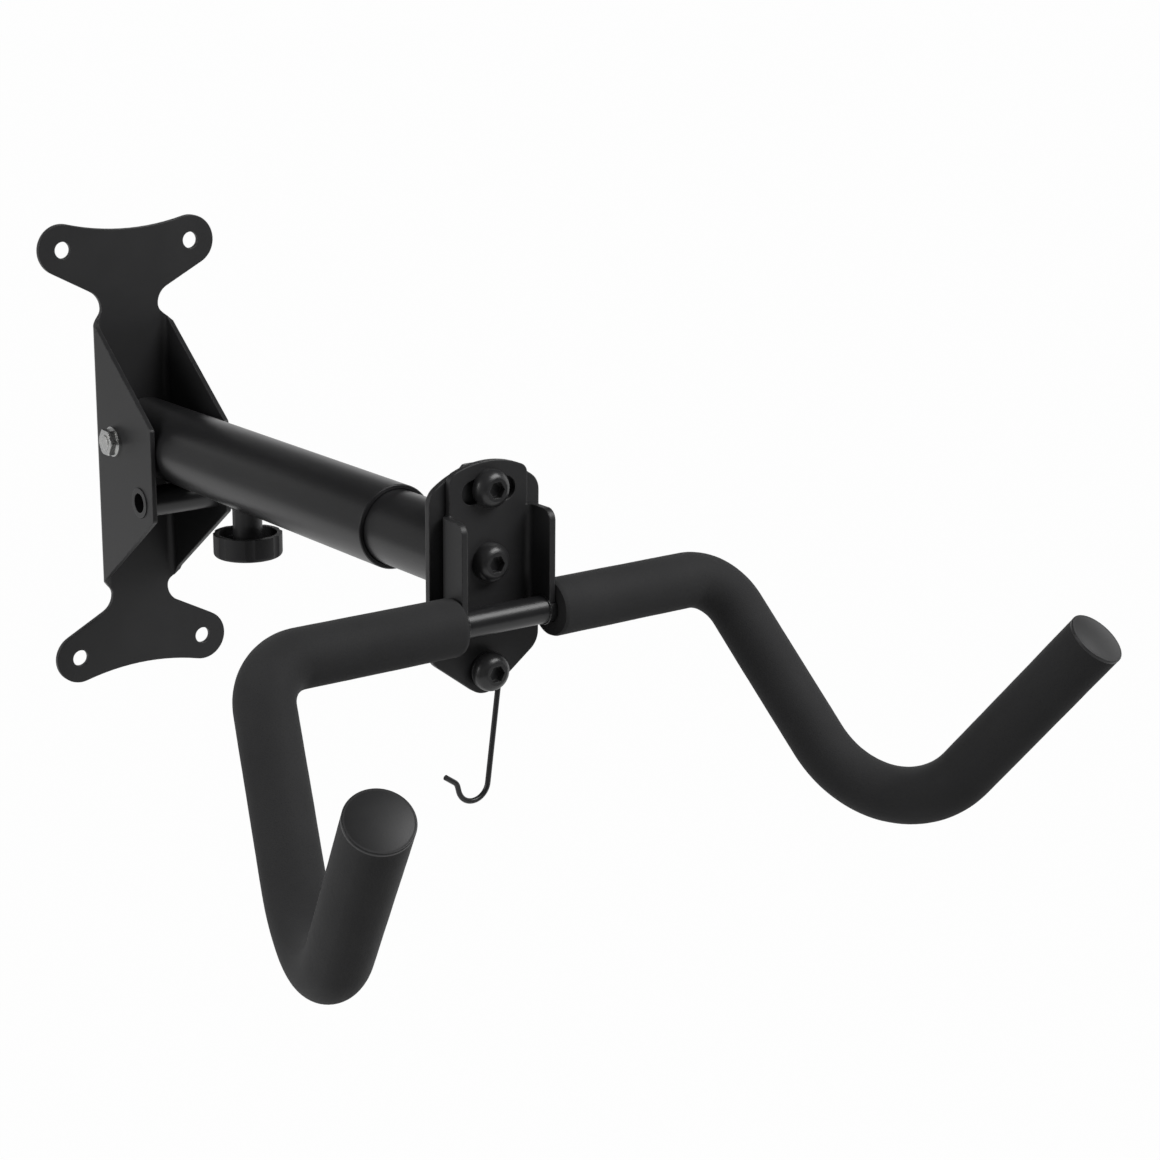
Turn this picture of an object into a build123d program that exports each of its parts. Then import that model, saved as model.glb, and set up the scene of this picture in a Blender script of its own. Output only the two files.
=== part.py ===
from build123d import *
import math
import os

# Bicycle wall rack in millimetres. The wall is the plane Y = 0, the arm reaches along -Y and +Z is up.
# The origin is the middle of the four wall holes, on the back of the wall plate.

# Wall bracket, folded from one sheet
sheet = 2.5
hole_pitch_x = 75.0
hole_pitch_z = 224.0
wall_hole_d = 9.0
ear_r = 13.7
top_edge_rise = 8.9
neck_w = 33.4
neck_over_cheek = 3.5
notch_r = 10.5
fold_notch_r = 6.0
fold_notch_turn = 42.0
cheek_root_r = 12.0
bend_in_r = 3.5
cheek_depth = 66.0
cheek_front_h = 49.0
cheek_back_h = 151.4
cheek_low_lift = 2.3
cheek_corner_r = 2.0

# Telescopic arm
outer_tube_d = 40.0
tube_wall = 2.0
slide_gap = 0.3
arm_z = 11.7
pivot_y = 24.5
tube_tail = 8.0
outer_front_y = 264.0
inner_rear_y = 95.0
arm_side_gap = 0.5
tube_edge_chamfer = 0.4

# Fold pivot, M8
pivot_d = 8.0
pivot_nut_af = 13.0
pivot_nut_h = 4.0
nut_corner_share = 0.6
pivot_head_h = 5.3
pivot_thread_out = 0.3
washer_d = 16.0
washer_t = 1.6
sleeve_d = 12.0
sleeve_side_gap = 0.2

# Stop tube under the arm
stop_inset = 14.5
stop_d = 16.0
stop_bore_d = 10.5
stop_proud = 0.5
stop_rest_gap = 0.3

# Clamp under the outer tube, M8
clamp_y = 124.8
boss_d = 15.0
boss_h = 15.7
screw_d = 8.0
pad_h = 3.0
pad_gap = 0.3
knob_d = 35.0
knob_h = 12.0
knob_rim = 2.6
knob_cup_depth = 4.6
knob_drop = 12.1
knob_edge_r = 2.2
knob_bore_depth = 4.0
flute_count = 7
flute_r = 6.0
flute_depth = 0.7

# Tilting head
plate_t = 3.0
base_plate_y = 332.1
plate_gap = 0.1
base_top_r = 43.3
base_half_w = 29.0
base_shoulder_r = 9.0
base_corner_drop = 42.0
base_corner_r = 10.0
base_tip_r = 11.0
lock_rise = 33.1
hook_drop = 50.0
slot_half_angle = 15.5
bracket_top_r = 45.1
bracket_corner_r = 5.0
bracket_half_w = 20.5
bracket_drop = 28.0
flange_half_w = 24.65
flange_len = 15.4
flange_top = 23.0
flange_in_r = 2.8
flange_corner_r = 5.0

# Head bolts, M10 button heads with hexagon sockets
bolt_d = 10.0
bolt_head_d = 17.5
bolt_head_h = 6.4
bolt_rim_h = 2.0
bolt_face_d = 10.5
dome_lean = 0.18
dome_rise = 0.62
socket_af = 7.0
socket_depth = 3.4
bolt_nut_af = 17.0
bolt_nut_h = 8.0
bolt_thread_out = 2.0

# Bent bar, foam and caps
bar_d = 12.7
bar_wall = 1.5
bar_ahead = 10.2
bar_drop = 22.9
first_bend_x = 121.4
first_bend_r = 23.3
trough_r = 48.3
leg_out = 29.0
leg_reach = 90.8
leg_drop = 115.5
tip_out = 27.8
tip_reach = 89.9
tip_rise = 119.4
foam_d = 25.9
foam_start_x = 25.5
foam_gap = 0.2
cap_rim_h = 1.4
cap_edge_r = 0.5
cap_dome_d = 23.8
cap_crown = 1.2
plug_len = 12.0

# Wire hook
wire_d = 2.5
eye_gap = 0.8
eye_angle = 298.0
hook_len = 52.2
hook_r = 8.0
hook_angle = 158.0
hook_rise = 2.5
lip_r = 4.0
lip_angle = 40.0
lip_len = 6.0
hook_lean = 7.3

# Clearances: parts welded or pressed together, threads and turning pins; how far a cut runs past its face
weld_gap = 0.05
thread_gap = 0.05
turn_gap = 0.06
cut_over = 1.0
same_place = 0.01

# Worked-out places
outer_r = outer_tube_d / 2
outer_bore_r = outer_r - tube_wall
inner_r = outer_bore_r - slide_gap
cheek_in = outer_r + arm_side_gap
cheek_out = cheek_in + sheet
bend_out_r = bend_in_r + sheet
neck_z = cheek_back_h / 2 + neck_over_cheek
stop_y = cheek_depth - stop_inset
stop_z = arm_z - outer_r - stop_rest_gap - stop_d / 2
base_front_y = base_plate_y + plate_t
bracket_back_y = base_front_y + plate_gap
bracket_front_y = bracket_back_y + plate_t
flange_front_y = bracket_front_y + flange_len
bolt_seat_y = bracket_front_y + plate_gap
bar_y = bracket_front_y + bar_ahead
bar_z = arm_z - bar_drop
hook_z = arm_z - hook_drop
hook_y = (base_front_y + bolt_seat_y) / 2
tube_under_z = arm_z - outer_r
pad_top_z = arm_z - inner_r - pad_gap
boss_end_z = tube_under_z - boss_h
knob_top_z = tube_under_z - knob_drop
knob_floor_z = knob_top_z - knob_cup_depth
knob_end_z = knob_top_z - knob_h


def rod(start, end, radius):
    """A round bar between two points."""
    line = Vector(*end) - Vector(*start)
    stand = (Align.CENTER, Align.CENTER, Align.MIN)
    return Plane(Vector(*start), z_dir=line) * Cylinder(radius, line.length, align=stand)


def across(radius, y, z, half_length):
    """A round bar along X through the point (0, y, z)."""
    return rod((-half_length, y, z), (half_length, y, z), radius)


def along(radius, y_from, y_to, x=0.0, z=0.0):
    """A round bar along Y."""
    return rod((x, y_from, z), (x, y_to, z), radius)


def hex_nut(across_flats, height, bore_r):
    """A nut on Z, standing on its face, with its corners turned down."""
    corner_r = across_flats / math.sqrt(3)
    stand = (Align.CENTER, Align.CENTER, Align.MIN)
    blank = extrude(RegularPolygon(across_flats / 2, 6, major_radius=False), height)
    turned = Cylinder(corner_r, height, align=stand)
    turned = chamfer(turned.edges(), (corner_r - across_flats / 2) * nut_corner_share)
    return (blank & turned) - Cylinder(bore_r, 2 * (height + cut_over))


def button_bolt(length):
    """A button-head bolt on Z: the head's seat is at zero and the shank points down."""
    head_r = bolt_head_d / 2
    face_r = bolt_face_d / 2
    lean = (head_r + face_r) / 2 + (head_r - face_r) * dome_lean
    dome = (lean, bolt_rim_h + (bolt_head_h - bolt_rim_h) * dome_rise)
    outline = Line((0, 0), (head_r, 0))
    outline += Line((head_r, 0), (head_r, bolt_rim_h))
    outline += ThreePointArc((head_r, bolt_rim_h), dome, (face_r, bolt_head_h))
    outline += Line((face_r, bolt_head_h), (0, bolt_head_h))
    outline += Line((0, bolt_head_h), (0, 0))
    head = revolve(Plane.XZ * make_face(outline), Axis.Z)
    socket = extrude(RegularPolygon(socket_af / 2, 6, major_radius=False), socket_depth)
    hang = (Align.CENTER, Align.CENTER, Align.MAX)
    return head - Pos(0, 0, bolt_head_h - socket_depth) * socket + Cylinder(bolt_d / 2, length, align=hang)


def tangent_across(c1, r1, c2, r2):
    """Touching points of the line that passes between two circles, first circle on its right."""
    gap = c2 - c1
    turn = math.degrees(math.acos((r1 + r2) / gap.length))
    normal = gap.normalized().rotate(Axis.Z, turn)
    return c1 + normal * r1, c2 - normal * r2


def arc_middle(centre, start, end):
    """Middle of the arc that runs anticlockwise from one point of a circle to another."""
    first = math.degrees(math.atan2(start.Y - centre.Y, start.X - centre.X))
    last = math.degrees(math.atan2(end.Y - centre.Y, end.X - centre.X))
    middle = first + ((last - first) % 360) / 2
    return centre + (start - centre).rotate(Axis.Z, middle - first)


def wall_plate():
    """The dog-bone plate: ears on top, a straight neck, the same again below."""
    ear = Vector(hole_pitch_x / 2, hole_pitch_z / 2)
    notch = Vector(neck_w / 2 + notch_r, neck_z)
    neck = Vector(neck_w / 2, neck_z)
    line_low, line_high = tangent_across(notch, notch_r, ear, ear_r)
    top_mid = Vector(0, ear.Y + top_edge_rise)
    top_r = (ear.X**2 + top_edge_rise**2 - ear_r**2) / (2 * (ear_r - top_edge_rise))
    ear_top = ear + (top_mid + Vector(0, top_r) - ear).normalized() * ear_r
    right = Line((neck.X, 0), neck)
    right += ThreePointArc(neck, arc_middle(notch, line_low, neck), line_low)
    right += Line(line_low, line_high)
    right += ThreePointArc(line_high, arc_middle(ear, line_high, ear_top), ear_top)
    top = ThreePointArc(ear_top, top_mid, (-ear_top.X, ear_top.Y))
    foot = Line((neck.X, 0), (-neck.X, 0))
    upper = extrude(Plane.XZ * make_face(right + top + mirror(right, Plane.YZ) + foot), sheet)
    return upper + mirror(upper, Plane.XY)


def cheeks():
    """The two cheeks with their bends, cut from a channel to the slanted side outline."""
    outer = Pos(0, -cheek_depth / 2) * Rectangle(2 * cheek_out, cheek_depth)
    outer = fillet(outer.vertices().group_by(Axis.Y)[-1], bend_out_r)
    inner = Pos(0, -cheek_depth / 2 - sheet) * Rectangle(2 * cheek_in, cheek_depth)
    inner = fillet(inner.vertices().group_by(Axis.Y)[-1], bend_in_r)
    channel = extrude(outer - inner, neck_z, both=True)
    front = cheek_front_h / 2
    outline = []
    for sz, lift in ((1, 0.0), (-1, cheek_low_lift)):
        back = cheek_back_h / 2 - lift
        root = back - (back - front) * bend_out_r / cheek_depth
        edge = [(0, neck_z), (-sheet, neck_z), (-bend_out_r, root), (-cheek_depth, front)]
        outline += [(y, sz * z) for y, z in edge[::sz]]
    side = make_face(Polyline(*outline, close=True))
    side = fillet(side.vertices().group_by(Axis.X)[0], cheek_corner_r)
    side = fillet(side.vertices().filter_by(lambda v: abs(v.X + bend_out_r) < same_place), cheek_root_r)
    return channel & extrude(Plane.YZ * side, cheek_out + sheet, both=True)


def fold_notch():
    """What the right upper bend loses: an arc that goes on from the neck, then a straight run outwards."""
    neck = Vector(neck_w / 2, neck_z)
    centre = neck + Vector(fold_notch_r, 0)
    half_way = centre + Vector(-fold_notch_r, 0).rotate(Axis.Z, fold_notch_turn / 2)
    arc_end = centre + Vector(-fold_notch_r, 0).rotate(Axis.Z, fold_notch_turn)
    run = cheek_out + sheet - arc_end.X
    low = Vector(cheek_out + sheet, arc_end.Y - run / math.tan(math.radians(fold_notch_turn)))
    outline = ThreePointArc(neck, half_way, arc_end) + Line(arc_end, low)
    high = Vector(low.X, neck.Y + run)
    outline += Line(low, high) + Line(high, neck)
    return extrude(Plane.XZ * make_face(outline), bend_out_r + 2 * sheet)


def wall_bracket():
    """Wall plate and cheeks in one, with the wall holes and the two cross holes."""
    body = wall_plate() + cheeks()
    right = fold_notch()
    left = mirror(right, Plane.YZ)
    body -= [right, left, mirror(right, Plane.XY), mirror(left, Plane.XY)]
    for sx in (-1, 1):
        for sz in (-1, 1):
            body -= along(wall_hole_d / 2, sheet, -2 * sheet, sx * hole_pitch_x / 2, sz * hole_pitch_z / 2)
    body -= across(pivot_d / 2 + weld_gap, -pivot_y, arm_z, cheek_out + sheet)
    return body - across(stop_d / 2 + weld_gap, -stop_y, stop_z, cheek_out + sheet)


def stop_tube():
    half = cheek_out + stop_proud
    return across(stop_d / 2, -stop_y, stop_z, half) - across(stop_bore_d / 2, -stop_y, stop_z, half + sheet)


def facing(side, distance):
    """A frame on the pivot axis, its Z pointing outwards from one cheek."""
    return Plane((side * distance, -pivot_y, arm_z), x_dir=(0, 1, 0), z_dir=(side, 0, 0))


def pivot_washers():
    disc = Cylinder(washer_d / 2, washer_t) - Cylinder(pivot_d / 2 + weld_gap, washer_t + 2 * cut_over)
    return [facing(side, cheek_out + washer_t / 2) * disc for side in (-1, 1)]


def pivot_bolt():
    seat = cheek_out + washer_t
    head = extrude(RegularPolygon(pivot_nut_af / 2, 6, major_radius=False), pivot_head_h)
    end = -seat - pivot_nut_h - pivot_thread_out
    shank = rod((seat, -pivot_y, arm_z), (end, -pivot_y, arm_z), pivot_d / 2)
    return facing(1, seat) * head + shank


def pivot_nut():
    return facing(-1, cheek_out + washer_t) * hex_nut(pivot_nut_af, pivot_nut_h, pivot_d / 2 + thread_gap)


def pivot_sleeve():
    half = cheek_in - sleeve_side_gap
    bore = across(pivot_d / 2 + turn_gap, -pivot_y, arm_z, cheek_out)
    return across(sleeve_d / 2, -pivot_y, arm_z, half) - bore


def tube(radius, wall, y_from, y_to):
    """A tube on the arm's axis with eased outer edges."""
    skin = along(radius, -y_from, -y_to, z=arm_z)
    skin = chamfer(skin.edges().filter_by(GeomType.CIRCLE), tube_edge_chamfer)
    return skin - along(radius - wall, -y_from + wall, -y_to - wall, z=arm_z)


def outer_tube():
    body = tube(outer_r, tube_wall, pivot_y - tube_tail, outer_front_y)
    body -= across(sleeve_d / 2 + weld_gap, -pivot_y, arm_z, cheek_out)
    return body - rod((0, -clamp_y, arm_z), (0, -clamp_y, tube_under_z - tube_wall), screw_d / 2 + thread_gap)


def clamp_boss():
    body = rod((0, -clamp_y, arm_z), (0, -clamp_y, boss_end_z), boss_d / 2)
    body -= along(outer_r + weld_gap, -clamp_y + boss_d, -clamp_y - boss_d, z=arm_z)
    return body - rod((0, -clamp_y, arm_z), (0, -clamp_y, boss_end_z - cut_over), screw_d / 2 + thread_gap)


def pressure_pad():
    return rod((0, -clamp_y, pad_top_z - pad_h), (0, -clamp_y, pad_top_z), screw_d / 2 - thread_gap)


def clamp_screw():
    end = knob_floor_z - knob_bore_depth
    return rod((0, -clamp_y, end), (0, -clamp_y, pad_top_z - pad_h), screw_d / 2)


def clamp_knob():
    body = rod((0, -clamp_y, knob_end_z), (0, -clamp_y, knob_top_z), knob_d / 2)
    body = fillet(body.edges().group_by(Axis.Z)[0], knob_edge_r)
    centre = knob_d / 2 + flute_r - flute_depth
    for k in range(flute_count):
        angle = math.radians(360 * (k + 0.5) / flute_count)
        x = centre * math.sin(angle)
        y = -clamp_y - centre * math.cos(angle)
        body -= rod((x, y, knob_end_z - cut_over), (x, y, knob_top_z + cut_over), flute_r)
    cup_r = knob_d / 2 - knob_rim
    body -= rod((0, -clamp_y, knob_floor_z), (0, -clamp_y, knob_top_z + cut_over), cup_r)
    bore_end = knob_floor_z - knob_bore_depth
    return body - rod((0, -clamp_y, bore_end), (0, -clamp_y, knob_top_z), screw_d / 2 + weld_gap)


def inner_tube():
    return tube(inner_r, tube_wall, inner_rear_y, base_plate_y)


def head_plane(y):
    """The plane across the arm's axis at a distance from the wall, seen from the front."""
    return Plane((0, -y, arm_z), x_dir=(1, 0, 0), z_dir=(0, -1, 0))


def bolt_bore(y, rise, radius):
    return along(radius, -y + cut_over, -y - plate_t - cut_over, z=arm_z + rise)


def tilt_base_plate():
    """Shield shape: round top, straight sides, a tip round the hook bolt."""
    shoulder = Vector(base_half_w, math.sqrt(base_top_r**2 - base_half_w**2))
    corner = Vector(base_half_w, -base_corner_drop)
    tip = Vector(0, -hook_drop)
    gap = corner - tip
    lean = math.degrees(math.acos(base_tip_r / gap.length))
    touch = tip + gap.normalized().rotate(Axis.Z, -lean) * base_tip_r
    right = Line(shoulder, corner) + Line(corner, touch)
    top = ThreePointArc(shoulder, (0, base_top_r), (-shoulder.X, shoulder.Y))
    foot = ThreePointArc(touch, tip - Vector(0, base_tip_r), (-touch.X, touch.Y))
    face = make_face(right + top + mirror(right, Plane.YZ) + foot)
    at_side = [v for v in face.vertices() if abs(abs(v.X) - base_half_w) < same_place]
    face = fillet([v for v in at_side if v.Y > 0], base_shoulder_r)
    at_side = [v for v in face.vertices() if abs(v.Y + base_corner_drop) < same_place]
    face = fillet(at_side, base_corner_r)
    body = extrude(head_plane(base_plate_y) * face, plate_t)
    for rise in (0, lock_rise, -hook_drop):
        body -= bolt_bore(base_plate_y, rise, bolt_d / 2 + weld_gap)
    return body


def head_bolt(rise):
    length = bolt_seat_y - base_plate_y + bolt_nut_h + bolt_thread_out
    return head_plane(bolt_seat_y) * Pos(0, rise) * button_bolt(length)


def head_nut(rise):
    back = Plane((0, -base_plate_y, arm_z + rise), x_dir=(1, 0, 0), z_dir=(0, 1, 0))
    return back * hex_nut(bolt_nut_af, bolt_nut_h, bolt_d / 2 + thread_gap)


def bracket_flanges():
    """Channel section bent forward, trimmed to the flange's side outline."""
    depth = flange_front_y - bracket_back_y
    outer = Pos(0, -bracket_back_y - depth / 2) * Rectangle(2 * flange_half_w, depth)
    outer = fillet(outer.vertices().group_by(Axis.Y)[-1], flange_in_r + plate_t)
    inner = Pos(0, -bracket_front_y - depth / 2) * Rectangle(2 * (flange_half_w - plate_t), depth)
    inner = fillet(inner.vertices().group_by(Axis.Y)[-1], flange_in_r)
    channel = Pos(0, 0, bar_z) * extrude(outer - inner, bar_drop + flange_top)
    back = -bracket_back_y + plate_t
    front = -flange_front_y
    top = arm_z + flange_top
    side = make_face(Polyline((back, bar_z), (back, top), (front, top), (front, bar_z), close=True))
    side = fillet(side.vertices().sort_by(Axis.Y)[-2:].sort_by(Axis.X)[0], flange_corner_r)
    return channel & extrude(Plane.YZ * side, flange_half_w + plate_t, both=True)


def arm_bracket():
    top_corner = Vector(bracket_half_w, math.sqrt(bracket_top_r**2 - bracket_half_w**2))
    bottom = Vector(bracket_half_w, -bracket_drop)
    top = ThreePointArc(top_corner, (0, bracket_top_r), (-top_corner.X, top_corner.Y))
    right = Line(top_corner, bottom)
    foot = Line(bottom, (-bottom.X, bottom.Y))
    face = make_face(top + right + mirror(right, Plane.YZ) + foot)
    face = fillet(face.vertices().group_by(Axis.Y)[-1], bracket_corner_r)
    slot = SlotArc(CenterArc((0, 0), lock_rise, 90 - slot_half_angle, 2 * slot_half_angle), bolt_d + 2 * slide_gap)
    body = extrude(head_plane(bracket_back_y) * (face - slot), plate_t) + bracket_flanges()
    body -= bolt_bore(bracket_back_y, 0, bolt_d / 2 + turn_gap)
    return body - across(bar_d / 2 + weld_gap, -bar_y, bar_z, flange_half_w + plate_t)


def arm_points():
    """Corners of one arm, from the middle of the bar to the foot of the cap's rim."""
    bend = Vector(first_bend_x, -bar_y, bar_z)
    trough = bend + Vector(leg_out, -leg_reach, -leg_drop)
    tip = trough + Vector(tip_out, -tip_reach, tip_rise)
    return bend, trough, tip - (tip - trough).normalized() * cap_rim_h


def arm_path(start_x):
    """One arm's centre line from a point on the bar to the end of the tube."""
    bend, trough, tip = arm_points()
    start = Vector(start_x, -bar_y, bar_z)
    return FilletPolyline(start, bend, trough, tip, radius=[first_bend_r, trough_r])


def swept(path, radius):
    return sweep(Plane(path @ 0, z_dir=path % 0) * Circle(radius), path)


def arm_bar():
    """A bent tube, modelled as its right half and the mirror of it."""
    path = arm_path(0)
    half = swept(path, bar_d / 2) - swept(path, bar_d / 2 - bar_wall)
    return half + mirror(half, Plane.YZ)


def right_foam_sleeve():
    path = arm_path(foam_start_x)
    return swept(path, foam_d / 2) - swept(path, bar_d / 2 + foam_gap)


def right_end_cap():
    """A thin-rimmed cap with a domed face and a plug in the tube."""
    bend, trough, tip = arm_points()
    face = Plane(tip, z_dir=tip - trough)
    stand = (Align.CENTER, Align.CENTER, Align.MIN)
    disc = Cylinder(foam_d / 2, cap_rim_h, align=stand)
    disc = fillet(disc.edges().group_by(Axis.Z)[-1], cap_edge_r)
    dome_r = (cap_dome_d**2 / 4 + cap_crown**2) / (2 * cap_crown)
    ball = Pos(0, 0, cap_rim_h + cap_crown - dome_r) * Rot(90, 0, 0) * Sphere(dome_r)
    disc += ball & Cylinder(foam_d / 2 - cap_edge_r, cap_rim_h + cap_crown, align=stand)
    plug = Cylinder(bar_d / 2 - bar_wall - weld_gap, plug_len, align=(Align.CENTER, Align.CENTER, Align.MAX))
    return face * (disc + plug)


def wire_hook():
    """Eye, straight shank, round hook and a lip bent outwards, leaning as it was left."""
    eye_r = bolt_d / 2 + eye_gap + wire_d / 2
    eye = CenterArc((0, 0), eye_r, eye_angle, -eye_angle)
    shank = Line(eye @ 1, (eye_r, -hook_len))
    bow = JernArc(shank @ 1, shank % 1, hook_r, -hook_angle)
    rise = Line(bow @ 1, bow @ 1 + (bow % 1) * hook_rise)
    bend = JernArc(rise @ 1, rise % 1, lip_r, lip_angle)
    lip = Line(bend @ 1, bend @ 1 + (bend % 1) * lip_len)
    wire = swept(Wire([eye, shank, bow, rise, bend, lip]), wire_d / 2)
    return Plane((0, -hook_y, hook_z), x_dir=(1, 0, 0), z_dir=(0, -1, 0)) * Rot(0, 0, -hook_lean) * wire


nodes = {
    "wall_bracket": wall_bracket(),
    "stop_tube": stop_tube(),
    "pivot_bolt": pivot_bolt(),
    "pivot_nut": pivot_nut(),
    "pivot_washers": Compound(pivot_washers()),
    "pivot_sleeve": pivot_sleeve(),
    "outer_tube": outer_tube(),
    "clamp_boss": clamp_boss(),
    "pressure_pad": pressure_pad(),
    "clamp_screw": clamp_screw(),
    "clamp_knob": clamp_knob(),
    "inner_tube": inner_tube(),
    "tilt_base_plate": tilt_base_plate(),
    "tilt_pivot_bolt": head_bolt(0),
    "tilt_pivot_nut": head_nut(0),
    "tilt_lock_bolt": head_bolt(lock_rise),
    "tilt_lock_nut": head_nut(lock_rise),
    "hook_bolt": head_bolt(-hook_drop),
    "hook_bolt_nut": head_nut(-hook_drop),
    "arm_bracket": arm_bracket(),
    "arm_bar": arm_bar(),
    "right_foam_sleeve": right_foam_sleeve(),
    "left_foam_sleeve": mirror(right_foam_sleeve(), Plane.YZ),
    "right_end_cap": right_end_cap(),
    "left_end_cap": mirror(right_end_cap(), Plane.YZ),
    "wire_hook": wire_hook(),
}

os.makedirs("parts", exist_ok=True)
for name, shape in nodes.items():
    export_step(shape, f"parts/{name}.step")
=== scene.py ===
import math
import bpy
from mathutils import Matrix, Vector


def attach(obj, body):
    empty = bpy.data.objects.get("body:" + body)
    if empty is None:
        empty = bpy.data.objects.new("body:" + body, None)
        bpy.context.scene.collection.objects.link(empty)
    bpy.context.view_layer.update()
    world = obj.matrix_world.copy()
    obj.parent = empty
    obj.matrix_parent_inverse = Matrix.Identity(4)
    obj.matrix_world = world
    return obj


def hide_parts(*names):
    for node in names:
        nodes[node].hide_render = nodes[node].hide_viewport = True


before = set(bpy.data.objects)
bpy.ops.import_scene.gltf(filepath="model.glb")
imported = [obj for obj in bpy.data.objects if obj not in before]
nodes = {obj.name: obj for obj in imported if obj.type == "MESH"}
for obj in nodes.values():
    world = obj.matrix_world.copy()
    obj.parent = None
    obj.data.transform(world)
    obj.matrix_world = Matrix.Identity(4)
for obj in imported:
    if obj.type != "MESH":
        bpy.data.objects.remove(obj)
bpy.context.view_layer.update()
scene = bpy.context.scene
print("frame loaded:", len(nodes), "nodes")

mm = 0.001


def add(tree, kind, feeds=None, values=None, **settings):  # one node, its settings, its values and its links
    node = tree.nodes.new(kind)
    for key, value in settings.items():
        setattr(node, key, value)
    for key, value in (values or {}).items():
        node.inputs[key].default_value = value
    for key, socket in (feeds or {}).items():
        tree.links.new(socket, node.inputs[key])
    return node


def newGroup(name, kind, inputs, outputs):
    tree = bpy.data.node_groups.new(name, kind)
    for label, socketType, value in inputs:
        socket = tree.interface.new_socket(label, in_out="INPUT", socket_type=socketType)
        if value is not None:
            socket.default_value = value
    for label, socketType in outputs:
        tree.interface.new_socket(label, in_out="OUTPUT", socket_type=socketType)
    return tree, tree.nodes.new("NodeGroupInput").outputs, tree.nodes.new("NodeGroupOutput").inputs


def maths(tree, operation, first, second):
    node = tree.nodes.new("ShaderNodeMath")
    node.operation = operation
    for socket, value in zip(node.inputs, (first, second)):
        if isinstance(value, (int, float)):
            socket.default_value = value
        else:
            tree.links.new(value, socket)
    return node.outputs[0]


def mixColour(tree, factor, first, second):
    node = tree.nodes.new("ShaderNodeMix")
    node.data_type = "RGBA"
    tree.links.new(factor, node.inputs[0])
    for socket, value in zip(node.inputs[6:8], (first, second)):
        if isinstance(value, tuple):
            socket.default_value = (*value, 1)
        else:
            tree.links.new(value, socket)
    return node.outputs[2]


def spread(tree, value, low, high):  # a 0 to 1 value spread between two limits
    node = add(tree, "ShaderNodeMapRange", {"Value": value}, {"To Min": low, "To Max": high})
    return node.outputs[0]


def scaled(tree, vector, factor):
    node = tree.nodes.new("ShaderNodeVectorMath")
    node.operation = "SCALE"
    tree.links.new(vector, node.inputs[0])
    tree.links.new(factor, node.inputs["Scale"])
    return node.outputs[0]


def pick(tree, choice, without, chosen):  # one of two values
    node = add(tree, "GeometryNodeSwitch", input_type="FLOAT")
    for socket, value in zip(node.inputs, (choice, without, chosen)):
        tree.links.new(value, socket)
    return node.outputs[0]


# shared effects
def makeGrainGroup():
    tree, given, out = newGroup(
        "finishGrain",
        "ShaderNodeTree",
        [
            ("Vector", "NodeSocketVector", None),
            ("Peel Scale", "NodeSocketFloat", 700.0),
            ("Speck Scale", "NodeSocketFloat", 3200.0),
            ("Speck Share", "NodeSocketFloat", 0.3),
            ("Cloud Scale", "NodeSocketFloat", 22.0),
        ],
        [("Height", "NodeSocketFloat"), ("Cloud", "NodeSocketFloat"), ("Speck", "NodeSocketFloat")],
    )
    place = given["Vector"]
    peel = add(tree, "ShaderNodeTexNoise", {"Vector": place, "Scale": given["Peel Scale"]}, {"Detail": 1.0})
    speck = add(tree, "ShaderNodeTexNoise", {"Vector": place, "Scale": given["Speck Scale"]}, {"Detail": 2.0})
    cloud = add(
        tree,
        "ShaderNodeTexNoise",
        {"Vector": place, "Scale": given["Cloud Scale"]},
        {"Detail": 4.0, "Roughness": 0.6},
    )
    fine = maths(tree, "MULTIPLY", speck.outputs[0], given["Speck Share"])
    tree.links.new(maths(tree, "ADD", peel.outputs[0], fine), out["Height"])
    tree.links.new(cloud.outputs[0], out["Cloud"])
    tree.links.new(speck.outputs[0], out["Speck"])
    return tree


def makeEdgeWearHighlightGroup():
    # lighter edges: a mask for edge wear together with a painted highlight along every edge
    tree, given, out = newGroup(
        "edgeWearHighlight",
        "ShaderNodeTree",
        [
            ("Edge Normal", "NodeSocketVector", None),
            ("Vector", "NodeSocketVector", None),
            ("Breakup Scale", "NodeSocketFloat", 160.0),
            ("Reach", "NodeSocketFloat", 0.2),
        ],
        [("Mask", "NodeSocketFloat")],
    )
    face = tree.nodes.new("ShaderNodeNewGeometry")
    meet = tree.nodes.new("ShaderNodeVectorMath")
    meet.operation = "DOT_PRODUCT"
    tree.links.new(given["Edge Normal"], meet.inputs[0])
    tree.links.new(face.outputs["Normal"], meet.inputs[1])
    lean = maths(tree, "SUBTRACT", 1.0, meet.outputs["Value"])
    edge = add(tree, "ShaderNodeMapRange", {"Value": lean, "From Max": given["Reach"]}, {"From Min": 0.01})
    breakup = add(
        tree,
        "ShaderNodeTexNoise",
        {"Vector": given["Vector"], "Scale": given["Breakup Scale"]},
        {"Detail": 4.0},
    )
    patchy = add(tree, "ShaderNodeMapRange", {"Value": breakup.outputs[0]}, {"From Min": 0.3, "From Max": 0.7})
    tree.links.new(maths(tree, "MULTIPLY", edge.outputs[0], patchy.outputs[0]), out["Mask"])
    return tree


finishGrain = makeGrainGroup()
edgeWearHighlight = makeEdgeWearHighlightGroup()


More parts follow.
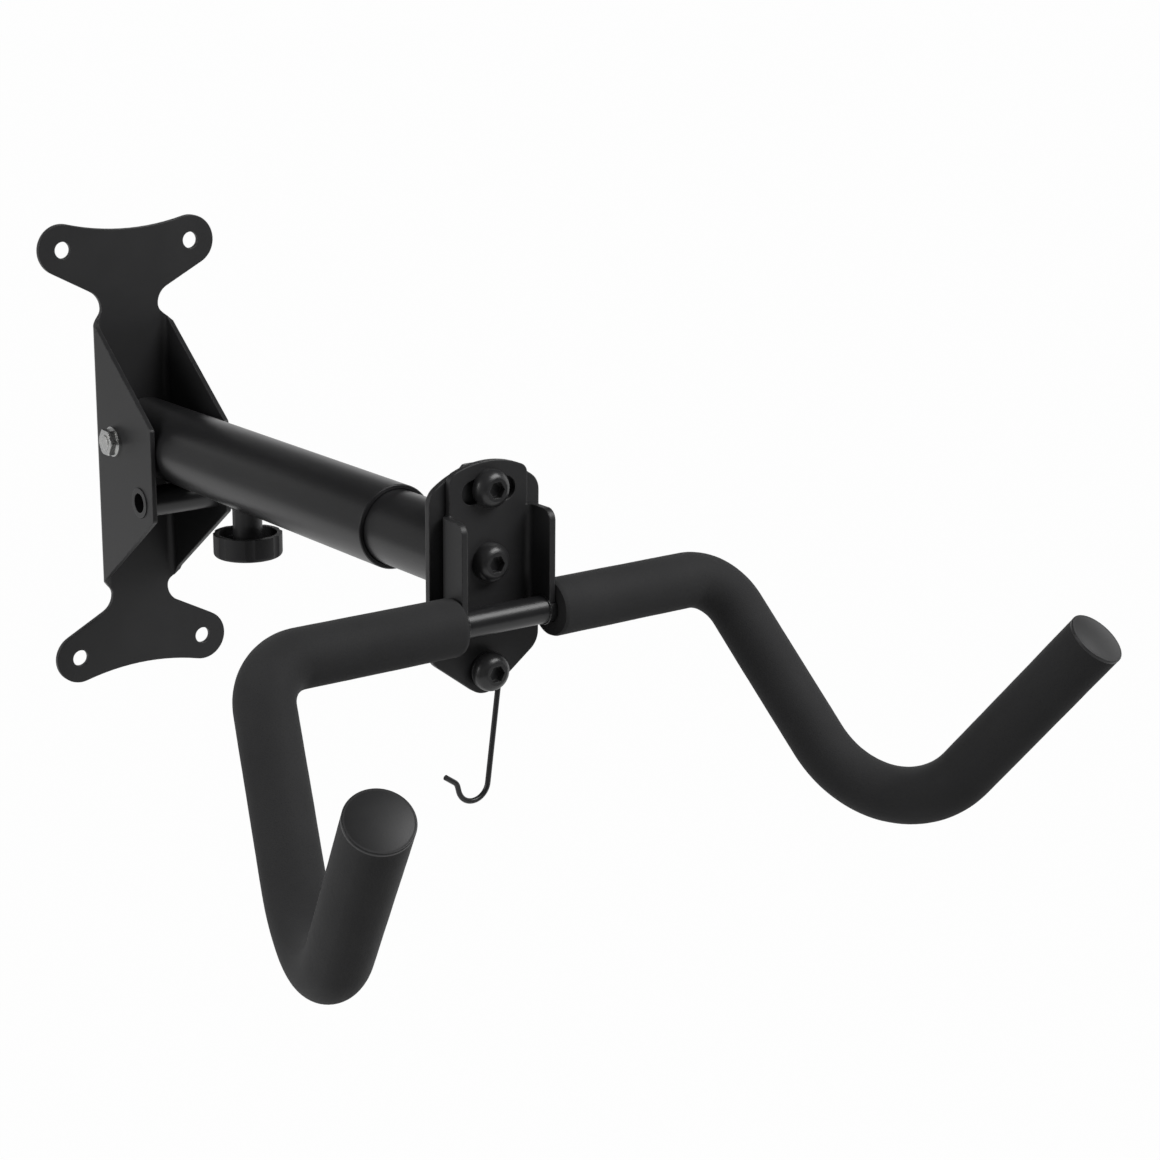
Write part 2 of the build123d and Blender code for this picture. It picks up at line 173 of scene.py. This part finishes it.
def finish(name, look):  # a material with grain, soft edges lightened by wear and a painted highlight, and cloudy gloss
    material = bpy.data.materials.new(name)
    material.use_nodes = True
    tree = material.node_tree
    shader = tree.nodes["Principled BSDF"]
    shader.inputs["Metallic"].default_value = look.get("metallic", 0.0)
    shader.inputs["Specular IOR Level"].default_value = look.get("specular", 0.5)
    place = tree.nodes.new("ShaderNodeTexCoord").outputs["Object"]
    grain = tree.nodes.new("ShaderNodeGroup")
    grain.node_tree = finishGrain
    tree.links.new(place, grain.inputs["Vector"])
    for key in ("Peel Scale", "Speck Scale", "Speck Share", "Cloud Scale"):
        grain.inputs[key].default_value = look[key]
    soft = add(tree, "ShaderNodeBevel", values={"Radius": look["edge"] * mm}, samples=6)
    wearAndHighlight = tree.nodes.new("ShaderNodeGroup")
    wearAndHighlight.node_tree = edgeWearHighlight
    wearAndHighlight.inputs["Reach"].default_value = look["reach"]
    tree.links.new(soft.outputs[0], wearAndHighlight.inputs["Edge Normal"])
    tree.links.new(place, wearAndHighlight.inputs["Vector"])
    contrast = {"From Min": 0.3, "From Max": 0.7}
    cloudy = add(tree, "ShaderNodeMapRange", {"Value": grain.outputs["Cloud"]}, contrast)
    body = mixColour(tree, cloudy.outputs[0], look["dark"], look["light"])
    # the edge colour is part wear, part painted highlight
    dressed = mixColour(tree, wearAndHighlight.outputs["Mask"], body, look["wornEdgeAndHighlight"])
    tree.links.new(dressed, shader.inputs["Base Color"])
    mottle = maths(tree, "ADD", grain.outputs["Cloud"], grain.outputs["Speck"])
    gloss = maths(tree, "MULTIPLY", mottle, 0.5)
    tree.links.new(spread(tree, gloss, *look["roughness"]), shader.inputs["Roughness"])
    bump = add(
        tree,
        "ShaderNodeBump",
        {"Height": grain.outputs["Height"], "Normal": soft.outputs[0]},
        {"Strength": look["bump"], "Distance": look["depth"] * mm},
    )
    tree.links.new(bump.outputs[0], shader.inputs["Normal"])
    return material


# the sheet, tube and bar coats are one black powder coat; their different base colours are painted light and
# shade
sheetCoat = finish("sheetPowderCoat", {
    "dark": (0.019, 0.019, 0.020), "light": (0.026, 0.026, 0.027), "wornEdgeAndHighlight": (0.11, 0.11, 0.111),
    "roughness": (0.36, 0.56), "Peel Scale": 620.0, "Speck Scale": 3400.0, "Speck Share": 0.35,
    "Cloud Scale": 20.0, "edge": 0.9, "reach": 0.25, "bump": 0.35, "depth": 0.06,
})
tubeCoat = finish("tubePowderCoat", {
    "dark": (0.014, 0.014, 0.015), "light": (0.019, 0.019, 0.020), "wornEdgeAndHighlight": (0.07, 0.07, 0.071),
    "roughness": (0.26, 0.42), "Peel Scale": 520.0, "Speck Scale": 3000.0, "Speck Share": 0.3,
    "Cloud Scale": 18.0, "edge": 0.4, "reach": 0.25, "bump": 0.25, "depth": 0.05,
})
barCoat = finish("barCoat", {
    "dark": (0.016, 0.016, 0.017), "light": (0.021, 0.021, 0.022), "wornEdgeAndHighlight": (0.06, 0.06, 0.06),
    "roughness": (0.24, 0.40), "Peel Scale": 700.0, "Speck Scale": 3000.0, "Speck Share": 0.3,
    "Cloud Scale": 30.0, "edge": 0.2, "reach": 0.25, "bump": 0.2, "depth": 0.05,
})
boltBlack = finish("boltBlackOxide", {
    "dark": (0.024, 0.024, 0.025), "light": (0.034, 0.034, 0.035), "wornEdgeAndHighlight": (0.09, 0.09, 0.09),
    "roughness": (0.24, 0.38), "Peel Scale": 1500.0, "Speck Scale": 5000.0, "Speck Share": 0.5,
    "Cloud Scale": 90.0, "edge": 0.35, "reach": 0.3, "bump": 0.25, "depth": 0.03,
})
wireBlack = finish("wireBlackOxide", {
    "dark": (0.016, 0.016, 0.017), "light": (0.024, 0.024, 0.025), "wornEdgeAndHighlight": (0.06, 0.06, 0.06),
    "roughness": (0.28, 0.44), "Peel Scale": 1500.0, "Speck Scale": 5000.0, "Speck Share": 0.5,
    "Cloud Scale": 60.0, "edge": 0.15, "reach": 0.3, "bump": 0.25, "depth": 0.03,
})
zincPlate = finish("brightZinc", {
    "dark": (0.58, 0.59, 0.60), "light": (0.74, 0.74, 0.72), "wornEdgeAndHighlight": (0.82, 0.82, 0.80),
    "roughness": (0.16, 0.36), "Peel Scale": 1800.0, "Speck Scale": 6000.0, "Speck Share": 0.5,
    "Cloud Scale": 120.0, "edge": 0.3, "reach": 0.3, "bump": 0.2, "depth": 0.02, "metallic": 1.0,
})
knobPlastic = finish("knobPlastic", {
    "dark": (0.008, 0.008, 0.009), "light": (0.011, 0.011, 0.012), "wornEdgeAndHighlight": (0.020, 0.020, 0.021),
    "roughness": (0.44, 0.62), "Peel Scale": 2400.0, "Speck Scale": 5200.0, "Speck Share": 0.7,
    "Cloud Scale": 60.0, "edge": 0.5, "reach": 0.3, "bump": 0.4, "depth": 0.04, "specular": 0.36,
})
capRubber = finish("capRubber", {
    "dark": (0.019, 0.019, 0.020), "light": (0.024, 0.024, 0.025), "wornEdgeAndHighlight": (0.050, 0.050, 0.051),
    "roughness": (0.38, 0.56), "Peel Scale": 1600.0, "Speck Scale": 4600.0, "Speck Share": 0.6,
    "Cloud Scale": 70.0, "edge": 0.5, "reach": 0.3, "bump": 0.3, "depth": 0.04,
})
padNylon = finish("padNylon", {
    "dark": (0.66, 0.64, 0.58), "light": (0.74, 0.72, 0.67), "wornEdgeAndHighlight": (0.78, 0.77, 0.73),
    "roughness": (0.42, 0.6), "Peel Scale": 1500.0, "Speck Scale": 4200.0, "Speck Share": 0.5,
    "Cloud Scale": 200.0, "edge": 0.3, "reach": 0.3, "bump": 0.2, "depth": 0.03,
})

wearing = {
    sheetCoat: ("wall_bracket", "tilt_base_plate", "arm_bracket"),
    tubeCoat: ("outer_tube", "inner_tube", "clamp_boss", "stop_tube"),
    barCoat: ("arm_bar",),
    boltBlack: (
        "tilt_pivot_bolt", "tilt_pivot_nut", "tilt_lock_bolt", "tilt_lock_nut", "hook_bolt", "hook_bolt_nut",
    ),
    wireBlack: ("wire_hook",),
    zincPlate: ("pivot_bolt", "pivot_nut", "pivot_washers", "pivot_sleeve", "clamp_screw"),
    knobPlastic: ("clamp_knob",),
    capRubber: ("left_end_cap", "right_end_cap"),
    padNylon: ("pressure_pad",),
}
for material, names in wearing.items():
    for name in names:
        nodes[name].data.materials.clear()
        nodes[name].data.materials.append(material)
print("finishes on", sum(len(names) for names in wearing.values()), "CAD nodes")


# foam sleeves: one line of four points for each arm, rounded, swept and dented in the tree
foam = {
    "start": 25.5, "barY": -348.4, "barZ": -11.2, "bendX": 121.4,
    "legOut": 29.0, "legReach": 90.8, "legDrop": 115.5, "tipOut": 27.8, "tipReach": 89.9, "tipRise": 119.4,
    "capThick": 1.4, "bendRadius": 23.3, "troughRadius": 48.3, "radius": 12.95, "bore": 6.55,
    "ringStep": 0.7, "around": 56, "bendSteps": 40, "edgeRound": 0.7, "endStep": 0.02, "joinGap": 0.01,
    "lumpDepth": 0.28, "lumpScale": 46.0, "poreDepth": 0.05, "poreScale": 620.0, "noiseTop": 0.62,
    "sharpAngle": 0.8,
}
foamLook = {
    "specular": 0.18, "sheen": 0.06, "sheenRoughness": 0.6, "roughness": (0.62, 0.86),
    "cellScale": 1500.0, "fuzzScale": 2600.0, "cloudScale": 34.0, "cellShare": 0.7, "bump": 0.4, "depth": 0.12,
    "dark": (0.029, 0.029, 0.030), "light": (0.036, 0.036, 0.037), "poreShade": (0.020, 0.020, 0.021), "poreShadeReach": 0.35,
}


def foamMaterial():
    material = bpy.data.materials.new("closedCellFoam")
    material.use_nodes = True
    tree = material.node_tree
    shader = tree.nodes["Principled BSDF"]
    shader.inputs["Specular IOR Level"].default_value = foamLook["specular"]
    shader.inputs["Sheen Weight"].default_value = foamLook["sheen"]
    shader.inputs["Sheen Roughness"].default_value = foamLook["sheenRoughness"]
    place = tree.nodes.new("ShaderNodeTexCoord").outputs["Object"]
    cells = add(tree, "ShaderNodeTexVoronoi", {"Vector": place}, {"Scale": foamLook["cellScale"]})
    fuzz = add(tree, "ShaderNodeTexNoise", {"Vector": place}, {"Scale": foamLook["fuzzScale"], "Detail": 2.0})
    cloud = add(tree, "ShaderNodeTexNoise", {"Vector": place}, {"Scale": foamLook["cloudScale"], "Detail": 3.0})
    tone = add(tree, "ShaderNodeMapRange", {"Value": cloud.outputs[0]}, {"From Min": 0.3, "From Max": 0.7})
    skin = mixColour(tree, tone.outputs[0], foamLook["dark"], foamLook["light"])
    # pores darker: painted shade in the dents of the cell bump
    depth = cells.outputs["Distance"]
    poreShade = add(tree, "ShaderNodeMapRange", {"Value": depth}, {"From Min": 0.0, "From Max": foamLook["poreShadeReach"]})
    tree.links.new(mixColour(tree, poreShade.outputs[0], foamLook["poreShade"], skin), shader.inputs["Base Color"])
    tree.links.new(spread(tree, fuzz.outputs[0], *foamLook["roughness"]), shader.inputs["Roughness"])
    height = maths(tree, "ADD", maths(tree, "MULTIPLY", depth, foamLook["cellShare"]), fuzz.outputs[0])
    relief = {"Strength": foamLook["bump"], "Distance": foamLook["depth"] * mm}
    bump = add(tree, "ShaderNodeBump", {"Height": height}, relief)
    tree.links.new(bump.outputs[0], shader.inputs["Normal"])
    return material


def makeFoamTree(material):
    tree, given, out = newGroup(
        "foamSleeve",
        "GeometryNodeTree",
        [
            ("Geometry", "NodeSocketGeometry", None),
            ("Bend Radius", "NodeSocketFloat", 0.04),
            ("Trough Radius", "NodeSocketFloat", 0.05),
            ("Foam Radius", "NodeSocketFloat", 0.013),
            ("Bore Radius", "NodeSocketFloat", 0.0065),
            ("Ring Step", "NodeSocketFloat", 0.001),
            ("Around", "NodeSocketInt", 48),
            ("Edge Round", "NodeSocketFloat", 0.002),
            ("End Step", "NodeSocketFloat", 0.00002),
            ("Lump Depth", "NodeSocketFloat", 0.0003),
            ("Pore Depth", "NodeSocketFloat", 0.00005),
        ],
        [("Geometry", "NodeSocketGeometry")],
    )
    line = add(tree, "GeometryNodeMeshToCurve", {0: given["Geometry"]})
    index = tree.nodes.new("GeometryNodeInputIndex")
    early = add(tree, "FunctionNodeCompare", data_type="INT", operation="LESS_THAN")
    tree.links.new(index.outputs[0], early.inputs[2])
    early.inputs[3].default_value = 2
    turn = pick(tree, early.outputs[0], given["Trough Radius"], given["Bend Radius"])
    corners = {"Curve": line.outputs[0], "Radius": turn}
    rounded = add(tree, "GeometryNodeFilletCurve", corners, {"Count": foam["bendSteps"]}, mode="POLY")
    spaced = {"Curve": rounded.outputs[0], "Length": given["Ring Step"]}
    even = add(tree, "GeometryNodeResampleCurve", spaced, mode="LENGTH")
    along = tree.nodes.new("GeometryNodeSplineParameter").outputs["Length"]
    spline = tree.nodes.new("GeometryNodeSplineLength").outputs
    total = spline["Length"]
    fromEnd = maths(tree, "MINIMUM", along, maths(tree, "SUBTRACT", total, along))
    step = maths(tree, "DIVIDE", total, maths(tree, "SUBTRACT", spline["Point Count"], 1.0))
    shift = maths(tree, "SUBTRACT", step, given["End Step"])
    isSecond = maths(tree, "COMPARE", index.outputs[0], 1.0)
    isLast = maths(tree, "COMPARE", index.outputs[0], maths(tree, "SUBTRACT", spline["Point Count"], 2.0))
    tangent = tree.nodes.new("GeometryNodeInputTangent").outputs[0]
    slide = scaled(tree, tangent, maths(tree, "MULTIPLY", shift, maths(tree, "SUBTRACT", isLast, isSecond)))
    rings = add(tree, "GeometryNodeSetPosition", {"Geometry": even.outputs[0], "Offset": slide})
    inEdge = maths(tree, "MAXIMUM", maths(tree, "SUBTRACT", given["Edge Round"], along), 0.0)
    roundSquare = maths(tree, "MULTIPLY", given["Edge Round"], given["Edge Round"])
    square = maths(tree, "SUBTRACT", roundSquare, maths(tree, "MULTIPLY", inEdge, inEdge))
    rise = maths(tree, "SQRT", maths(tree, "MAXIMUM", square, 0.0), 0.0)
    crown = maths(tree, "ADD", maths(tree, "SUBTRACT", given["Foam Radius"], given["Edge Round"]), rise)
    atEnd = maths(tree, "LESS_THAN", fromEnd, foam["joinGap"] * mm)
    size = pick(tree, atEnd, crown, given["Bore Radius"])
    # the end rings are marked, because they stay where they are
    marked = add(tree, "GeometryNodeCaptureAttribute", {"Geometry": rings.outputs[0]})
    marked.capture_items.new("FLOAT", "Free")
    tree.links.new(maths(tree, "SUBTRACT", 1.0, atEnd), marked.inputs["Free"])
    circle = add(tree, "GeometryNodeCurvePrimitiveCircle", {"Resolution": given["Around"]}, {"Radius": 1.0})
    shells = []
    for radius in (size, given["Bore Radius"]):
        swept = {"Curve": marked.outputs["Geometry"], "Profile Curve": circle.outputs[0], "Scale": radius}
        shells.append(add(tree, "GeometryNodeCurveToMesh", swept))
    normal = tree.nodes.new("GeometryNodeInputNormal").outputs[0]
    dents = []
    for kind, label, detail in (("lumpScale", "Lump Depth", 2.0), ("poreScale", "Pore Depth", 1.0)):
        noise = add(tree, "ShaderNodeTexNoise", values={"Scale": foam[kind], "Detail": detail})
        below = maths(tree, "SUBTRACT", noise.outputs[0], foam["noiseTop"])
        dents.append(maths(tree, "MULTIPLY", below, given[label]))
    sink = maths(tree, "MULTIPLY", maths(tree, "ADD", *dents), marked.outputs["Free"])
    push = scaled(tree, normal, sink)
    skin = add(tree, "GeometryNodeSetPosition", {"Geometry": shells[0].outputs[0], "Offset": push})
    hole = add(tree, "GeometryNodeFlipFaces", {"Mesh": shells[1].outputs[0]})
    both = tree.nodes.new("GeometryNodeJoinGeometry")
    tree.links.new(skin.outputs[0], both.inputs[0])
    tree.links.new(hole.outputs[0], both.inputs[0])
    joined = {"Distance": foam["joinGap"] * mm}
    closed = add(tree, "GeometryNodeMergeByDistance", {"Geometry": both.outputs[0]}, joined)
    real = add(tree, "GeometryNodeRealizeInstances", {"Geometry": closed.outputs[0]})
    smooth = add(tree, "GeometryNodeSetShadeSmooth", {"Geometry": real.outputs[0]})
    angle = tree.nodes.new("GeometryNodeInputMeshEdgeAngle").outputs[0]
    steep = {"Geometry": smooth.outputs[0], "Selection": maths(tree, "GREATER_THAN", angle, foam["sharpAngle"])}
    crisp = add(tree, "GeometryNodeSetShadeSmooth", steep, {"Shade Smooth": False}, domain="EDGE")
    dressed = add(tree, "GeometryNodeSetMaterial", {"Geometry": crisp.outputs[0]}, {"Material": material})
    tree.links.new(dressed.outputs[0], out["Geometry"])
    return tree


def polyline(name, points, closed=False):
    mesh = bpy.data.meshes.new(name)
    edges = [(k, k + 1) for k in range(len(points) - 1)]
    if closed:
        edges.append((len(points) - 1, 0))
    mesh.from_pydata(points, edges, [])
    obj = bpy.data.objects.new(name, mesh)
    scene.collection.objects.link(obj)
    return obj


def grow(obj, tree, sizes):  # runs a tree on an object and keeps the result as its plain mesh
    modifier = obj.modifiers.new("grow", "NODES")
    modifier.node_group = tree
    sockets = {item.name: item.identifier for item in tree.interface.items_tree if item.in_out == "INPUT"}
    for label, value in sizes.items():
        modifier[sockets[label]] = value
    grown = obj.evaluated_get(bpy.context.evaluated_depsgraph_get())
    mesh = bpy.data.meshes.new_from_object(grown)
    obj.modifiers.remove(modifier)
    obj.data = mesh
    return obj


def foamLine(side):
    bend = Vector((foam["bendX"], foam["barY"], foam["barZ"]))
    trough = bend + Vector((foam["legOut"], -foam["legReach"], -foam["legDrop"]))
    tip = trough + Vector((foam["tipOut"], -foam["tipReach"], foam["tipRise"]))
    tip -= (tip - trough).normalized() * foam["capThick"]
    start = Vector((foam["start"], foam["barY"], foam["barZ"]))
    return [(p.x * side * mm, p.y * mm, p.z * mm) for p in (start, bend, trough, tip)]


foamTree = makeFoamTree(foamMaterial())
foamSizes = {
    "Bend Radius": foam["bendRadius"] * mm, "Trough Radius": foam["troughRadius"] * mm,
    "Foam Radius": foam["radius"] * mm, "Bore Radius": foam["bore"] * mm,
    "Ring Step": foam["ringStep"] * mm, "Around": foam["around"],
    "Edge Round": foam["edgeRound"] * mm, "End Step": foam["endStep"] * mm,
    "Lump Depth": foam["lumpDepth"] * mm, "Pore Depth": foam["poreDepth"] * mm,
}
for name, side in (("right", 1), ("left", -1)):
    sleeve = grow(polyline(name + "FoamSleeve", foamLine(side)), foamTree, foamSizes)
    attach(sleeve, "cradle")
    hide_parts(name + "_foam_sleeve")
    print(name, "foam sleeve,", len(sleeve.data.polygons), "faces")


# weld beads: rippled rings along the seams between welded pieces
weld = {
    "boss": {"radius": 7.5, "y": -124.8, "armZ": 11.7, "tubeRadius": 20.0, "thick": 0.9},
    "head": {"radius": 17.7, "y": -332.1, "armZ": 11.7, "thick": 1.1},
    "bar": {"radius": 6.35, "x": 21.65, "barY": -348.4, "barZ": -11.2, "thick": 0.7},
    "around": 96, "step": 0.35, "sides": 10, "ripple": 1.9, "rippleShare": 0.22, "wobbleScale": 300.0,
}


def makeWeldTree(material):
    tree, given, out = newGroup(
        "weldBead",
        "GeometryNodeTree",
        [
            ("Geometry", "NodeSocketGeometry", None),
            ("Thick", "NodeSocketFloat", 0.001),
            ("Step", "NodeSocketFloat", 0.0004),
            ("Sides", "NodeSocketInt", 10),
            ("Ripple", "NodeSocketFloat", 0.002),
            ("Ripple Share", "NodeSocketFloat", 0.2),
        ],
        [("Geometry", "NodeSocketGeometry")],
    )
    line = add(tree, "GeometryNodeMeshToCurve", {0: given["Geometry"]})
    spaced = {"Curve": line.outputs[0], "Length": given["Step"]}
    rings = add(tree, "GeometryNodeResampleCurve", spaced, mode="LENGTH")
    along = tree.nodes.new("GeometryNodeSplineParameter").outputs["Length"]
    wobble = add(tree, "ShaderNodeTexNoise", values={"Scale": weld["wobbleScale"], "Detail": 1.0})
    turns = maths(tree, "ADD", maths(tree, "DIVIDE", along, given["Ripple"]), wobble.outputs[0])
    wave = maths(tree, "SINE", maths(tree, "MULTIPLY", turns, 2 * math.pi), 0.0)
    dip = maths(tree, "MULTIPLY", maths(tree, "SUBTRACT", wave, 1.0), given["Ripple Share"])
    share = maths(tree, "ADD", 1.0, maths(tree, "MULTIPLY", dip, 0.5))
    thick = maths(tree, "MULTIPLY", given["Thick"], share)
    circle = add(tree, "GeometryNodeCurvePrimitiveCircle", {"Resolution": given["Sides"]}, {"Radius": 1.0})
    swept = {"Curve": rings.outputs[0], "Profile Curve": circle.outputs[0], "Scale": thick}
    bead = add(tree, "GeometryNodeCurveToMesh", swept)
    real = add(tree, "GeometryNodeRealizeInstances", {"Geometry": bead.outputs[0]})
    smooth = add(tree, "GeometryNodeSetShadeSmooth", {"Geometry": real.outputs[0]})
    dressed = add(tree, "GeometryNodeSetMaterial", {"Geometry": smooth.outputs[0]}, {"Material": material})
    tree.links.new(dressed.outputs[0], out["Geometry"])
    return tree


def ring(place):  # points of a closed seam, given one at each angle
    turns = [2 * math.pi * k / weld["around"] for k in range(weld["around"])]
    return [tuple(value * mm for value in place(math.cos(turn), math.sin(turn))) for turn in turns]


def bossSeam(c, s):
    b = weld["boss"]
    x = b["radius"] * c
    return x, b["y"] + b["radius"] * s, b["armZ"] - math.sqrt(b["tubeRadius"] ** 2 - x * x)


def headSeam(c, s):
    h = weld["head"]
    return h["radius"] * c, h["y"], h["armZ"] + h["radius"] * s


def barSeam(side):
    b = weld["bar"]
    return lambda c, s: (side * b["x"], b["barY"] + b["radius"] * c, b["barZ"] + b["radius"] * s)


weldTree = makeWeldTree(tubeCoat)
seams = (
    ("bossWeld", bossSeam, "boss", "outer_arm"),
    ("headWeld", headSeam, "head", "inner_arm"),
    ("barWeldRight", barSeam(1), "bar", "cradle"),
    ("barWeldLeft", barSeam(-1), "bar", "cradle"),
)
for name, place, kind, body in seams:
    bead = grow(polyline(name, ring(place), True), weldTree, {
        "Thick": weld[kind]["thick"] * mm, "Step": weld["step"] * mm, "Sides": weld["sides"],
        "Ripple": weld["ripple"] * mm, "Ripple Share": weld["rippleShare"],
    })
    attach(bead, body)
    print(name, len(bead.data.polygons), "faces")


# stage: pale floor, white surround, dark cards for the reflections and two soft panels
stage = {
    "floorZ": -0.9, "floorSize": 40.0, "floorColour": (0.42, 0.42, 0.42, 1), "floorRoughness": 0.9,
    "floorGlow": 0.985, "floorGleam": 0.75, "backGlow": 0.988, "surround": 0.2,
}
cards = {
    "darkCeiling": {"low": (-3.2, -3.2, 1.3), "high": (3.2, 3.2, 1.3), "level": 0.05},
    "darkFront": {"low": (-4.0, -2.4, -0.89), "high": (4.0, -2.4, 2.0), "level": 0.05},
    "dimLeft": {"low": (-1.7, -2.4, -0.84), "high": (-1.7, 5.0, 1.3), "level": 0.22},
}
panels = {
    "keyPanel": {"place": (0.62, -1.15, 1.0), "target": (0, -0.3, 0), "size": (1.0, 0.7), "power": 14.5},
    "leftPanel": {"place": (-1.66, 0.1, 0.4), "target": (0, -0.25, 0), "size": (1.2, 0.9), "power": 12},
}


def sightRays(tree):  # what the camera sees by itself, and what it sees in a mirror or through glass
    seen = tree.nodes.new("ShaderNodeLightPath").outputs
    return seen["Is Camera Ray"], maths(tree, "MAXIMUM", seen["Is Glossy Ray"], seen["Is Transmission Ray"])


def makeFloor():
    half = stage["floorSize"] / 2
    mesh = bpy.data.meshes.new("floor")
    corners = [(-half, -half), (half, -half), (half, half), (-half, half)]
    mesh.from_pydata([(x, y, stage["floorZ"]) for x, y in corners], [], [(0, 1, 2, 3)])
    floor = bpy.data.objects.new("floor", mesh)
    scene.collection.objects.link(floor)
    material = bpy.data.materials.new("paleFloor")
    material.use_nodes = True
    tree = material.node_tree
    shader = tree.nodes["Principled BSDF"]
    shader.inputs["Base Color"].default_value = stage["floorColour"]
    shader.inputs["Roughness"].default_value = stage["floorRoughness"]
    glow = add(tree, "ShaderNodeEmission", values={"Strength": 1.0})
    plain, mirrored = sightRays(tree)
    bare = maths(tree, "MULTIPLY", plain, stage["floorGlow"])
    share = maths(tree, "MAXIMUM", bare, maths(tree, "MULTIPLY", mirrored, stage["floorGleam"]))
    mixed = tree.nodes.new("ShaderNodeMixShader")
    tree.links.new(share, mixed.inputs[0])
    tree.links.new(shader.outputs[0], mixed.inputs[1])
    tree.links.new(glow.outputs[0], mixed.inputs[2])
    below = tree.nodes.new("ShaderNodeMixShader")  # seen from below, the floor isn't there
    tree.links.new(tree.nodes.new("ShaderNodeNewGeometry").outputs["Backfacing"], below.inputs[0])
    tree.links.new(mixed.outputs[0], below.inputs[1])
    tree.links.new(tree.nodes.new("ShaderNodeBsdfTransparent").outputs[0], below.inputs[2])
    tree.links.new(below.outputs[0], tree.nodes["Material Output"].inputs["Surface"])
    mesh.materials.append(material)


def makeWorld():
    world = bpy.data.worlds.new("studio")
    scene.world = world
    world.use_nodes = True
    tree = world.node_tree
    ground = tree.nodes["Background"]
    direct = maths(tree, "MAXIMUM", *sightRays(tree))
    tree.links.new(spread(tree, direct, stage["surround"], stage["backGlow"]), ground.inputs["Strength"])
    ground.inputs["Color"].default_value = (1, 1, 1, 1)


def darkCard(name, low, high, level):  # a dark card that only reflections show
    first, last = (axis for axis in range(3) if low[axis] != high[axis])
    beside, above = list(low), list(low)
    beside[first], above[last] = high[first], high[last]
    mesh = bpy.data.meshes.new(name)
    mesh.from_pydata([low, beside, high, above], [], [(0, 1, 2, 3)])
    card = bpy.data.objects.new(name, mesh)
    scene.collection.objects.link(card)
    material = bpy.data.materials.new(name)
    material.use_nodes = True
    tree = material.node_tree
    glow = add(tree, "ShaderNodeEmission", values={"Strength": level})
    tree.links.new(glow.outputs[0], tree.nodes["Material Output"].inputs["Surface"])
    mesh.materials.append(material)
    card.visible_camera = card.visible_diffuse = card.visible_transmission = card.visible_shadow = False


def softPanel(name, place, target, size, power):
    light = bpy.data.lights.new(name, "AREA")
    light.shape = "RECTANGLE"
    light.size, light.size_y = size
    light.energy = power
    lamp = bpy.data.objects.new(name, light)
    lamp.location = place
    lamp.rotation_euler = (Vector(target) - Vector(place)).to_track_quat("-Z", "Y").to_euler()
    scene.collection.objects.link(lamp)


makeFloor()
makeWorld()
for name, card in cards.items():
    darkCard(name, **card)
for name, panel in panels.items():
    softPanel(name, **panel)
print("stage and lights set")


# camera at the photograph's viewing angle
view = {
    "place": (-0.5794, -1.1658, 0.2872), "heading": -37.242, "dip": 14.3036, "roll": 0.5018,
    "lens": 74.455, "sensor": 36.0, "shiftY": -0.05, "nearClip": 0.05,
}
camera = bpy.data.objects.new("camera", bpy.data.cameras.new("camera"))
camera.data.sensor_width = view["sensor"]
camera.data.lens = view["lens"]
camera.data.shift_y = view["shiftY"]
camera.data.clip_start = view["nearClip"]
turned = Matrix.Rotation(math.radians(view["heading"]), 4, "Z")
turned = turned @ Matrix.Rotation(math.radians(90 - view["dip"]), 4, "X")
turned = turned @ Matrix.Rotation(math.radians(view["roll"]), 4, "Z")
camera.matrix_world = Matrix.Translation(view["place"]) @ turned
scene.collection.objects.link(camera)
scene.camera = camera
scene.view_settings.view_transform = "Standard"
